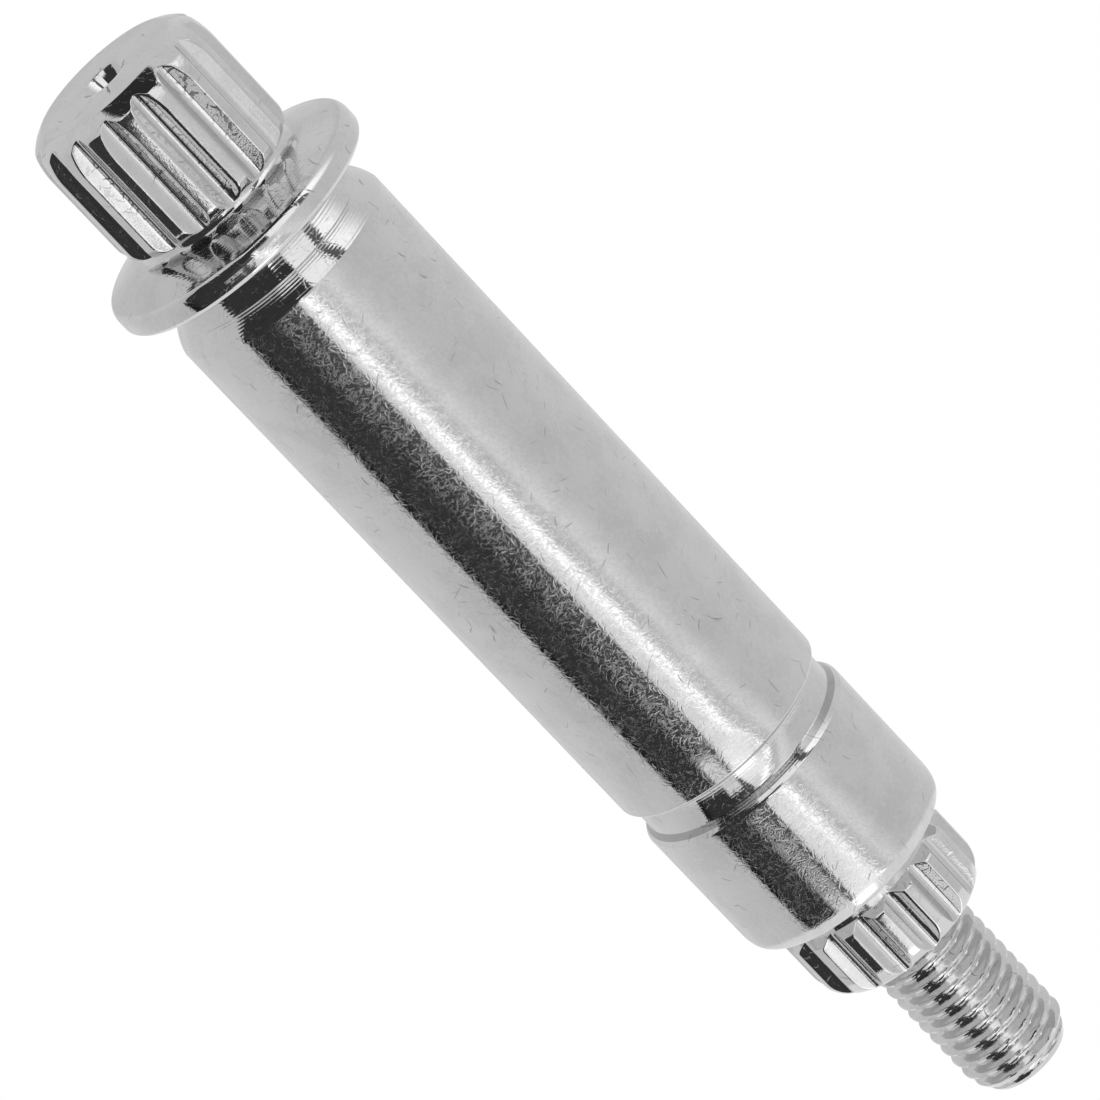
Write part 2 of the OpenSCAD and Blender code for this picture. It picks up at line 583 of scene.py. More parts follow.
    def stretches(self) -> list[Stretch]:
        """All stretches in order, from the bottom of one centre hole to the bottom of the other."""
        plain, bore = Density.PLAIN.value, Density.BORE.value
        teeth = self.tooth_count * 2 * (len(TOOTH_SHARES) - 1)
        return [
            Stretch(self.head_bore(), Form.PLAIN, Zone.TURNED, bore),
            Stretch(self.face(), Form.PLAIN, Zone.TURNED, plain),
            Stretch(self.head(), Form.HEAD_TEETH, Zone.ROLLED, teeth),
            Stretch(self.flange(), Form.PLAIN, Zone.FACED, plain),
            Stretch(self.rim(), Form.PLAIN, Zone.TURNED, plain),
            Stretch(self.undercut(), Form.PLAIN, Zone.BANDED, plain),
            Stretch(self.journal_wall(), Form.PLAIN, Zone.GROUND, plain),
            Stretch(self.groove(), Form.PLAIN, Zone.TURNED, plain),
            # The groove's inner wall takes the darker finish, which is painted shade in the recess.
            Stretch(self.groove_wall(), Form.PLAIN, Zone.GROOVE_PAINTED_SHADE, plain),
            Stretch(self.groove_edge(), Form.PLAIN, Zone.TURNED, plain),
            Stretch(self.collar_wall(), Form.PLAIN, Zone.GROUND, plain),
            Stretch(self.relief(), Form.PLAIN, Zone.TURNED, plain),
            Stretch(self.hub(), Form.HUB_TEETH, Zone.SEAT, teeth),
            Stretch(self.shoulder(), Form.PLAIN, Zone.TURNED, plain),
            Stretch(self.thread(), Form.THREAD, Zone.THREADED, Density.THREAD.value),
            Stretch(self.tail_bore(), Form.PLAIN, Zone.TURNED, bore),
        ]

    def build(self) -> bpy.types.Object:
        """Turns the outline into a closed mesh.

        Returns:
            The blank, with the attributes that the rolling trees read.
        """
        lathe = Lathe(self.tooth_count)
        for stretch in self.stretches():
            for point in stretch.points:
                lathe.row(point, stretch)
        return lathe.finish("drive_shaft_body")


class Lathe:
    """Collects rows of points round the axis and stitches each row to the one before it."""

    def __init__(self, tooth_count: int) -> None:
        """Starts with no rows."""
        self.tooth_count = tooth_count
        self.places: list[Vector] = []
        self.across: list[float] = []
        self.tooth: list[float] = []
        self.form: list[int] = []
        self.faces: list[tuple[int, ...]] = []
        self.zones: list[int] = []
        self.face_forms: list[int] = []
        self.last: list[tuple[float, int]] = []

    def columns(self, stretch: Stretch) -> list[tuple[float, float, float]]:
        """Angles of the columns of a stretch.

        Args:
            stretch: The stretch.

        Returns:
            For each column its angle, its signed share of the way from its tooth's middle to the
            middle of the tooth space, and the angle of its tooth.
        """
        if stretch.form not in (Form.HEAD_TEETH, Form.HUB_TEETH):
            turn = 2 * math.pi / stretch.columns
            return [(i * turn, 0.0, 0.0) for i in range(stretch.columns)]
        pitch = 2 * math.pi / self.tooth_count
        shares = [-share for share in TOOTH_SHARES[1:-1]] + list(TOOTH_SHARES)
        return sorted(
            (pitch * (tooth + share / 2) % (2 * math.pi), share, pitch * tooth)
            for tooth in range(self.tooth_count)
            for share in shares
        )

    def row(self, point: Point, stretch: Stretch) -> None:
        """Adds a row and stitches it to the one before it.

        Args:
            point: The row's (r, z).
            stretch: The stretch that the row belongs to.
        """
        on_axis = point[0] == 0.0
        columns = [(0.0, 0.0, 0.0)] if on_axis else self.columns(stretch)
        current = []
        for angle, share, tooth in columns:
            current.append((angle, len(self.places)))
            self.places.append(
                Vector((point[0] * math.cos(angle), point[0] * math.sin(angle), point[1])) * MM
            )
            self.across.append(share)
            self.tooth.append(tooth)
            self.form.append(0 if on_axis else int(stretch.form))
        if self.last:
            before = len(self.faces)
            self.stitch(self.last, current)
            made = len(self.faces) - before
            self.zones += [int(stretch.zone)] * made
            self.face_forms += [int(stretch.form)] * made
        self.last = current

    def stitch(self, low: list[tuple[float, int]], high: list[tuple[float, int]]) -> None:
        """Joins two rows with quads where their columns match, and with triangles elsewhere.

        Args:
            low: Angles and vertices of the first row.
            high: Angles and vertices of the second row.
        """
        if len(low) == len(high) and len(low) > 1:
            for i, (_, corner_a) in enumerate(low):
                j = (i + 1) % len(low)
                self.faces.append((corner_a, low[j][1], high[j][1], high[i][1]))
            return
        a = b = 0
        while a < len(low) * (len(low) > 1) or b < len(high) * (len(high) > 1):
            turn_a = low[(a + 1) % len(low)][0] + 2 * math.pi * ((a + 1) >= len(low))
            turn_b = high[(b + 1) % len(high)][0] + 2 * math.pi * ((b + 1) >= len(high))
            here_a, here_b = low[a % len(low)][1], high[b % len(high)][1]
            step_low = len(high) == 1 or b >= len(high) or (a < len(low) and turn_a <= turn_b)
            if step_low and len(low) > 1:
                self.faces.append((here_a, low[(a + 1) % len(low)][1], here_b))
                a += 1
            else:
                self.faces.append((here_a, high[(b + 1) % len(high)][1], here_b))
                b += 1

    def finish(self, name: str) -> bpy.types.Object:
        """Makes the mesh and its attributes.

        Args:
            name: The object's name.

        Returns:
            The object, linked to the scene.
        """
        mesh = bpy.data.meshes.new(name)
        mesh.from_pydata(self.places, [], self.faces)
        for attribute, kind, values in (
            ("across", "FLOAT", self.across),
            ("tooth", "FLOAT", self.tooth),
            ("form", "INT", self.form),
        ):
            mesh.attributes.new(attribute, kind, "POINT").data.foreach_set("value", values)
        mesh.attributes.new("face_form", "INT", "FACE").data.foreach_set("value", self.face_forms)
        mesh.polygons.foreach_set("material_index", self.zones)
        shaft = bpy.data.objects.new(name, mesh)
        bpy.context.scene.collection.objects.link(shaft)
        return shaft


class FormTree:
    """Base of the geometry trees that roll a form into the blank."""

    def __init__(self, name: str, inputs: list[tuple[str, str]]) -> None:
        """Makes the tree with its geometry sockets and named inputs.

        Args:
            name: The tree's name.
            inputs: Name and socket type of each size.
        """
        self.tree = bpy.data.node_groups.new(name, "GeometryNodeTree")
        sockets = self.tree.interface
        sockets.new_socket("Geometry", in_out="INPUT", socket_type="NodeSocketGeometry")
        for label, kind in [*inputs, ("Form", "NodeSocketInt"), ("Finish", "NodeSocketMaterial")]:
            sockets.new_socket(label, in_out="INPUT", socket_type=kind)
        sockets.new_socket("Geometry", in_out="OUTPUT", socket_type="NodeSocketGeometry")
        self.source = self.tree.nodes.new("NodeGroupInput")
        self.sink = self.tree.nodes.new("NodeGroupOutput")

    def size(self, label: str) -> Formula:
        """A named input of the tree."""
        return Formula(self.tree, self.source.outputs[label])

    def stored(self, name: str, kind: str) -> bpy.types.NodeSocket:
        """Reads a named attribute.

        Args:
            name: The attribute's name.
            kind: Its data type.

        Returns:
            The socket that gives it.
        """
        node = self.tree.nodes.new("GeometryNodeInputNamedAttribute")
        node.data_type = kind
        node.inputs["Name"].default_value = name
        return node.outputs["Attribute"]

    def chosen(self, name: str) -> bpy.types.NodeSocket:
        """Selects the points or faces whose attribute equals the Form input."""
        node = self.tree.nodes.new("FunctionNodeCompare")
        node.data_type = "INT"
        node.operation = "EQUAL"
        self.tree.links.new(self.stored(name, "INT"), node.inputs[2])
        self.tree.links.new(self.source.outputs["Form"], node.inputs[3])
        return node.outputs["Result"]

    def place(self) -> tuple[Formula, Formula, Formula]:
        """Coordinates of a point of the blank."""
        position = self.tree.nodes.new("GeometryNodeInputPosition")
        split = self.tree.nodes.new("ShaderNodeSeparateXYZ")
        self.tree.links.new(position.outputs["Position"], split.inputs["Vector"])
        x, y, z = (Formula(self.tree, socket) for socket in split.outputs)
        return x, y, z

    def close(self, radius: Formula, angle: Formula, height: Formula) -> None:
        """Moves the chosen points and gives the chosen faces their finish.

        Args:
            radius: New distance from the axis.
            angle: New angle round the axis.
            height: New height.
        """
        nodes, links = self.tree.nodes, self.tree.links
        joined = nodes.new("ShaderNodeCombineXYZ")
        for socket, value in zip(
            joined.inputs, (radius * angle.cosine(), radius * angle.sine(), height)
        ):
            links.new(value.socket, socket)
        move = nodes.new("GeometryNodeSetPosition")
        links.new(self.source.outputs["Geometry"], move.inputs["Geometry"])
        links.new(self.chosen("form"), move.inputs["Selection"])
        links.new(joined.outputs["Vector"], move.inputs["Position"])
        realize = nodes.new("GeometryNodeRealizeInstances")
        links.new(move.outputs["Geometry"], realize.inputs["Geometry"])
        finish = nodes.new("GeometryNodeSetMaterial")
        links.new(realize.outputs["Geometry"], finish.inputs["Geometry"])
        links.new(self.chosen("face_form"), finish.inputs["Selection"])
        links.new(self.source.outputs["Finish"], finish.inputs["Material"])
        links.new(finish.outputs["Geometry"], self.sink.inputs["Geometry"])

    def attach(self, piece: bpy.types.Object, values: dict[str, object]) -> None:
        """Adds the tree to a piece as a modifier.

        Args:
            piece: The piece.
            values: The value of each named input.
        """
        modifier = piece.modifiers.new(self.tree.name, "NODES")
        modifier.node_group = self.tree
        for item in self.tree.interface.items_tree:
            if item.item_type == "SOCKET" and item.in_out == "INPUT" and item.name in values:
                modifier[item.identifier] = values[item.name]


class ToothTree(FormTree):
    """Cuts straight tooth spaces with round roots into a stretch of the blank."""

    EDGE_LIMIT = 0.93

    def __init__(self) -> None:
        """Builds the tree."""
        sizes = ("Tooth Count", "Crest Radius", "Root Radius", "Crest Width", "Flank Angle", "Edge Round")
        super().__init__("rolled_teeth", [(label, "NodeSocketFloat") for label in sizes])
        half = math.pi / self.size("Tooth Count")
        crest, root = self.size("Crest Radius"), self.size("Root Radius")
        edge = half - (self.size("Crest Width") / 2.0 / crest).arcsine()
        wall = self.size("Flank Angle") + half
        wall_sine = wall.sine()
        apex = crest * edge.cosine() - crest * edge.sine() * wall.cosine() / wall_sine
        hollow = (root - apex) / (1.0 / wall_sine - 1.0)
        centre = root + hollow
        touch_r = centre - hollow * wall_sine
        touch_s = hollow * wall.cosine()
        touch = (touch_r.square() + touch_s.square()).root()
        touch_angle = touch_s.angle_with(touch_r)

        x, y, z = self.place()
        reach = (x.square() + y.square()).root()
        held = reach.most(root)
        on_flank = wall - (apex * wall_sine / held).arcsine()
        in_root = ((centre.square() + held.square() - hollow.square()) / (centre * held * 2.0)).least(1.0)
        mouth = held.over(touch).pick(on_flank, in_root.arccosine())
        crest_edge = (half - mouth).least(half * self.EDGE_LIMIT)

        across = Formula(self.tree, self.stored("across", "FLOAT"))
        share = across.size()
        land = crest_edge * share / CREST_EDGE_SHARE
        side = crest_edge + (half - crest_edge) * (share - CREST_EDGE_SHARE) / (1.0 - CREST_EDGE_SHARE)
        turn = share.under(CREST_EDGE_SHARE).pick(land, side)
        from_space = half - turn
        flank_r = apex * wall_sine / (wall - from_space).sine()
        round_r = centre * from_space.cosine() - (
            hollow.square() - (centre * from_space.sine()).square()
        ).most(0.0).root()
        space_r = from_space.over(touch_angle).pick(flank_r, round_r)
        tooth = Formula(self.tree, self.stored("tooth", "FLOAT"))
        rolled = reach.apply("SMOOTH_MIN", space_r, self.size("Edge Round"))
        self.close(rolled, tooth + across.sign() * turn, z)


class ThreadTree(FormTree):
    """Rolls a right-hand thread with round crests into a stretch of the blank."""

    SEAM_SHARE = 0.16

    def __init__(self) -> None:
        """Builds the tree."""
        sizes = (
            "Outside Radius", "Pitch", "Depth", "Start", "Phase", "Run-in",
            "Crest Share", "Root Share", "Seam Depth",
        )
        super().__init__("rolled_thread", [(label, "NodeSocketFloat") for label in sizes])
        x, y, z = self.place()
        reach = (x.square() + y.square()).root()
        angle = y.angle_with(x)
        rise = z - self.size("Start")
        turn = rise / self.size("Pitch") - angle / (2 * math.pi) + self.size("Phase")
        from_crest = (turn.fraction() * 2.0 - 1.0).size()
        crest = self.size("Crest Share")
        slope = ((from_crest - crest) / (1.0 - crest - self.size("Root Share"))).kept()
        groove = slope * 0.5 + (1.0 - (slope * math.pi).cosine()) * 0.25
        seam = (1.0 - from_crest / self.SEAM_SHARE).kept()
        fade = (rise / self.size("Run-in")).kept()
        cut = self.size("Depth") * groove * fade + self.size("Seam Depth") * seam.square() * fade
        self.close(reach.least(self.size("Outside Radius") - cut), angle, z)


class SurfaceGroup:
    """Base of the shader groups that several finishes share."""

    def __init__(self, name: str, inputs: dict[str, float], output: str) -> None:
        """Makes the group with its sockets.

        Args:
            name: The group's name.
            inputs: Name and usual value of each input.
            output: Name of the value that it puts out.
        """
        self.tree = bpy.data.node_groups.new(name, "ShaderNodeTree")
        for label, value in inputs.items():
            socket = self.tree.interface.new_socket(label, in_out="INPUT", socket_type="NodeSocketFloat")
            socket.default_value = value
        self.tree.interface.new_socket(output, in_out="OUTPUT", socket_type="NodeSocketFloat")
        self.source = self.tree.nodes.new("NodeGroupInput")
        self.sink = self.tree.nodes.new("NodeGroupOutput")
        self.spot = self.tree.nodes.new("ShaderNodeTexCoord").outputs["Object"]

    def size(self, label: str) -> Formula:
        """A named input of the group."""
        return Formula(self.tree, self.source.outputs[label])

    def node(self, kind: str, **settings: object) -> bpy.types.Node:
        """Adds a node.

        Args:
            kind: The node's type.
            settings: Properties to set on it.

        Returns:
            The node.
        """
        made = self.tree.nodes.new(kind)
        for label, value in settings.items():
            setattr(made, label, value)
        return made

    def vector(self, operation: str, *parts: object) -> bpy.types.NodeSocket:
        """Adds a Vector Math node.

        Args:
            operation: The node's operation.
            parts: Sockets or plain vectors.

        Returns:
            The socket with the result.
        """
        made = self.node("ShaderNodeVectorMath", operation=operation)
        for socket, part in zip(made.inputs, parts):
            if isinstance(part, bpy.types.NodeSocket):
                self.tree.links.new(part, socket)
            else:
                socket.default_value = part
        return made.outputs["Value" if operation in ("DOT_PRODUCT", "LENGTH") else "Vector"]

    def split(self, vector: bpy.types.NodeSocket) -> list[Formula]:
        """The three parts of a vector."""
        made = self.node("ShaderNodeSeparateXYZ")
        self.tree.links.new(vector, made.inputs["Vector"])
        return [Formula(self.tree, socket) for socket in made.outputs]

    def give(self, value: Formula) -> None:
        """Puts out a value."""
        self.tree.links.new(value.socket, self.sink.inputs[0])


class HairScratches(SurfaceGroup):
    """Short curved scuffs that lie in all directions, as parts get when they tumble together."""

    def __init__(self) -> None:
        """Builds the group."""
        super().__init__(
            "hair_scratches",
            {"Cells": 900.0, "Length": 0.0008, "Width": 0.00004, "Amount": 0.5, "Shift": 0.0},
            "Mask",
        )
        moved = self.node("ShaderNodeVectorMath", operation="ADD")
        self.tree.links.new(self.spot, moved.inputs[0])
        shift = self.node("ShaderNodeCombineXYZ")
        for socket in shift.inputs:
            self.tree.links.new(self.source.outputs["Shift"], socket)
        self.tree.links.new(shift.outputs[0], moved.inputs[1])
        cell = self.node("ShaderNodeTexVoronoi", voronoi_dimensions="3D", feature="F1")
        self.tree.links.new(moved.outputs[0], cell.inputs["Vector"])
        self.tree.links.new(self.source.outputs["Cells"], cell.inputs["Scale"])
        arm = self.vector("SUBTRACT", moved.outputs[0], cell.outputs["Position"])
        tint = self.vector("MULTIPLY_ADD", cell.outputs["Color"], (2.0, 2.0, 2.0), (-1.0, -1.0, -1.0))
        lean = self.vector("NORMALIZE", tint)
        reach = Formula(self.tree, self.vector("LENGTH", arm))
        off = Formula(self.tree, self.vector("DOT_PRODUCT", arm, lean))
        red, green, _ = self.split(cell.outputs["Color"])
        bend = (red - 0.5) * reach.square() * self.size("Cells") * 0.9
        line = 1.0 - ((off + bend).size() / self.size("Width")).kept()
        near = 1.0 - (reach / self.size("Length")).kept()
        some = green.under(self.size("Amount")) * (red * 0.75 + 0.25)
        self.give((line * near.apply("POWER", 0.35) * some).kept())


class HairTangle(SurfaceGroup):
    """Long fine curls, as from wiping with coarse cloth: broken level lines of a slow noise."""

    def __init__(self) -> None:
        """Builds the group."""
        super().__init__("hair_tangle", {"Cells": 420.0, "Width": 0.02, "Amount": 0.5}, "Mask")
        slow = self.noise(self.source.outputs["Cells"], detail=1.0, distortion=1.6)
        gaps = self.noise((self.size("Cells") * 2.6).socket, detail=0.0, distortion=0.0)
        line = 1.0 - ((slow - 0.5).size() / self.size("Width")).kept()
        self.give(line * (gaps + self.size("Amount") - 1.0).step(0.0, 0.12))

    def noise(self, scale: bpy.types.NodeSocket, detail: float, distortion: float) -> Formula:
        """A noise over the surface.

        Args:
            scale: Cells for each metre.
            detail: Number of finer layers.
            distortion: How far the noise is pulled about.

        Returns:
            The noise.
        """
        node = self.node("ShaderNodeTexNoise", noise_dimensions="3D")
        self.tree.links.new(self.spot, node.inputs["Vector"])
        self.tree.links.new(scale, node.inputs["Scale"])
        node.inputs["Detail"].default_value = detail
        node.inputs["Distortion"].default_value = distortion
        return Formula(self.tree, node.outputs["Fac"])


class PlatingSpecks(SurfaceGroup):
    """Small round pits and dots in the plating."""

    def __init__(self) -> None:
        """Builds the group."""
        super().__init__("plating_specks", {"Cells": 420.0, "Largest": 0.00009}, "Mask")
        cell = self.node("ShaderNodeTexVoronoi", voronoi_dimensions="3D", feature="F1")
        self.tree.links.new(self.spot, cell.inputs["Vector"])
        self.tree.links.new(self.source.outputs["Cells"], cell.inputs["Scale"])
        arm = self.vector("SUBTRACT", self.spot, cell.outputs["Position"])
        red, green, _ = self.split(cell.outputs["Color"])
        size = self.size("Largest") * (red * red + 0.15)
        distance = Formula(self.tree, self.vector("LENGTH", arm))
        self.give((1.0 - (distance / size).kept()).apply("POWER", 0.5) * green.under(0.6))


class PlatingMottle(SurfaceGroup):
    """Slow change of brightness over the plating."""

    def __init__(self) -> None:
        """Builds the group."""
        super().__init__("plating_mottle", {"Cells": 700.0, "Depth": 3.0}, "Value")
        noise = self.node("ShaderNodeTexNoise", noise_dimensions="3D")
        self.tree.links.new(self.spot, noise.inputs["Vector"])
        self.tree.links.new(self.source.outputs["Cells"], noise.inputs["Scale"])
        self.tree.links.new(self.source.outputs["Depth"], noise.inputs["Detail"])
        self.give(Formula(self.tree, noise.outputs["Fac"]))


class TurningLines(SurfaceGroup):
    """Fine rings left by a turning tool, along the shaft on its walls and across it on its faces."""

    def __init__(self) -> None:
        """Builds the group."""
        super().__init__("turning_lines", {"Pitch": 0.0004, "Evenness": 0.5}, "Height")
        x, y, z = self.split(self.spot)
        along = (z + (x.square() + y.square()).root()) / self.size("Pitch")
        ring = (along * (2 * math.pi)).sine() * 0.5 + 0.5
        noise = self.node("ShaderNodeTexNoise", noise_dimensions="1D")
        self.tree.links.new((along * 1.7).socket, noise.inputs["W"])
        noise.inputs["Scale"].default_value = 1.0
        noise.inputs["Detail"].default_value = 3.0
        uneven = Formula(self.tree, noise.outputs["Fac"])
        even = self.size("Evenness")
        self.give(ring * even + uneven * (1.0 - even))


class FinishKit:
    """The shader groups, made once for all finishes."""

    def __init__(self) -> None:
        """Builds the groups."""
        self.scratches = HairScratches()
        self.tangle = HairTangle()
        self.specks = PlatingSpecks()
        self.mottle = PlatingMottle()
        self.turning = TurningLines()


@dataclass(frozen=True)
class Hair:
    """Size of one kind of short scratch, in metres, and how often it comes."""

    cells: float
    length: float
    width: float
    share: float
    shift: float

    def inputs(self, amount: float) -> dict[str, float]:
        """Inputs of the group of scratches, for a finish with so many of them."""
        return {
            "Cells": self.cells, "Length": self.length, "Width": self.width,
            "Amount": amount * self.share, "Shift": self.shift,
        }


COARSE_STROKE = Hair(1300.0, 0.00055, 0.0001, 0.9, 0.0)
FINE_STROKE = Hair(1800.0, 0.0004, 0.00008, 0.9, 0.37)
DARK_LINE = Hair(300.0, 0.0011, 0.00009, 0.35, 0.19)
DARK_NICK = Hair(640.0, 0.0006, 0.00009, 1.0, 0.53)
CURL_SHARE = 0.7


@dataclass(frozen=True)
class ZincFinish:
    """A bright zinc finish and how the metal under it was worked."""

    name: str
    colour: tuple[float, float, float] = (0.645, 0.645, 0.645)
    dull_colour: tuple[float, float, float] = (0.585, 0.585, 0.585)
    mark_colour: tuple[float, float, float] = (0.16, 0.16, 0.16)
    smooth: float = 0.03
    rough: float = 0.07
    scratch_rough: float = 0.34
    scratch_amount: float = 1.0
    scratch_depth: float = 0.000006
    grain_depth: float = 0.0000025
    mark_amount: float = 0.7
    line_pitch: float = 0.0004
    line_depth: float = 0.0
    line_evenness: float = 0.5
    crest_rough: float = 0.0
    crest_grain: float = 0.0

    def make(self, kit: FinishKit) -> bpy.types.Material:
        """Builds the material.

        Args:
            kit: The shared shader groups.

        Returns:
            The material.
        """
        material = bpy.data.materials.new(self.name)
        material.use_nodes = True
        tree = material.node_tree
        metal = next(n for n in tree.nodes if n.type == "BSDF_PRINCIPLED")
        metal.inputs["Metallic"].default_value = 1.0
        strokes, haze = self.scratches(tree, kit)
        scratch = strokes.most(haze)
        marks = self.marks(tree, kit)
        slow, fast = (self.group(tree, kit.mottle, Cells=cells) for cells in (260.0, 2400.0))
        cloud = slow * 0.6 + fast * 0.4
        tone = self.mix(tree, cloud.step(0.36, 0.6), self.dull_colour, self.colour)
        tree.links.new(self.mix(tree, marks, tone, self.mark_colour), metal.inputs["Base Color"])
        broad = self.group(tree, kit.mottle, Cells=90.0, Depth=2.0)
        rough = broad.step(0.3, 0.7) * (self.rough - self.smooth) + self.smooth
        rough = rough * (1.0 - scratch) + scratch * self.scratch_rough + marks * 0.2
        grain = self.group(tree, kit.mottle, Cells=5200.0, Depth=2.0)
        height = grain * self.grain_depth - (strokes + marks) * self.scratch_depth
        if self.line_depth:
            lines = self.group(tree, kit.turning, Pitch=self.line_pitch, Evenness=self.line_evenness)
            height = height + lines * self.line_depth
        if self.crest_rough:
            crest = self.crest(tree)
            rough = rough + crest * self.crest_rough
            coarse = self.group(tree, kit.mottle, Cells=2600.0, Depth=2.0)
            height = height + crest * coarse * self.crest_grain
        tree.links.new(rough.socket, metal.inputs["Roughness"])
        bump = tree.nodes.new("ShaderNodeBump")
        bump.inputs["Distance"].default_value = 1.0
        tree.links.new(height.socket, bump.inputs["Height"])
        tree.links.new(bump.outputs["Normal"], metal.inputs["Normal"])
        return material

    def scratches(self, tree: bpy.types.NodeTree, kit: FinishKit) -> tuple[Formula, Formula]:
        """Light hair scratches: short strokes that are cut in, and a finer haze of curls.

        Args:
            tree: The material's tree.
            kit: The shared shader groups.

        Returns:
            The masks of the strokes and of the haze.
        """
        amount = self.scratch_amount
        coarse = self.group(tree, kit.scratches, **COARSE_STROKE.inputs(amount))
        fine = self.group(tree, kit.scratches, **FINE_STROKE.inputs(amount))
        long = self.group(tree, kit.tangle, Cells=420.0, Width=0.03, Amount=amount * CURL_SHARE)
        curls = self.group(tree, kit.tangle, Cells=900.0, Width=0.06, Amount=amount * CURL_SHARE)
        return coarse.most(fine), long.most(curls) * 0.7

    def marks(self, tree: bpy.types.NodeTree, kit: FinishKit) -> Formula:
        """Sparse dark marks: small pits and a few longer lines.

        Args:
            tree: The material's tree.
            kit: The shared shader groups.

        Returns:
            The mask of the marks.
        """
        lines = self.group(tree, kit.scratches, **DARK_LINE.inputs(self.mark_amount))
        nicks = self.group(tree, kit.scratches, **DARK_NICK.inputs(self.mark_amount))
        cluster = self.group(tree, kit.mottle, Cells=120.0, Depth=2.0).step(0.42, 0.6)
        return self.group(tree, kit.specks, Largest=0.00012).most(lines * 0.8).most(nicks * cluster)

    @staticmethod
    def crest(tree: bpy.types.NodeTree) -> Formula:
        """Mask of the crests of the teeth."""
        node = tree.nodes.new("ShaderNodeAttribute")
        node.attribute_name = "across"
        place = tree.nodes.new("ShaderNodeTexCoord")
        split = tree.nodes.new("ShaderNodeSeparateXYZ")
        tree.links.new(place.outputs["Object"], split.inputs["Vector"])
        past_nose = Formula(tree, split.outputs["Z"]).step(*NOSE_FADE)
        return Formula(tree, node.outputs["Fac"]).size().step(*CREST_FADE) * past_nose

    @staticmethod
    def group(tree: bpy.types.NodeTree, shared: SurfaceGroup, **values: float) -> Formula:
        """Adds a shared group to a material.

        Args:
            tree: The material's tree.
            shared: The group.
            values: Values of its inputs that differ from the usual ones.

        Returns:
            What the group puts out.
        """
        node = tree.nodes.new("ShaderNodeGroup")
        node.node_tree = shared.tree
        for label, value in values.items():
            node.inputs[label].default_value = value
        return Formula(tree, node.outputs[0])

    @staticmethod
    def mix(tree: bpy.types.NodeTree, mask: Formula, first: object, second: object) -> bpy.types.NodeSocket:
        """Mixes two colours.

        Args:
            tree: The material's tree.
            mask: Share of the second colour.
            first: A colour, or the socket of one.
            second: A colour, or the socket of one.

        Returns:
            The socket of the mixed colour.
        """
        node = tree.nodes.new("ShaderNodeMix")
        node.data_type = "RGBA"
        tree.links.new(mask.socket, node.inputs[0])
        for socket, colour in ((node.inputs[6], first), (node.inputs[7], second)):
            if isinstance(colour, bpy.types.NodeSocket):
                tree.links.new(colour, socket)
            else:
                socket.default_value = (*colour, 1.0)
        return node.outputs[2]


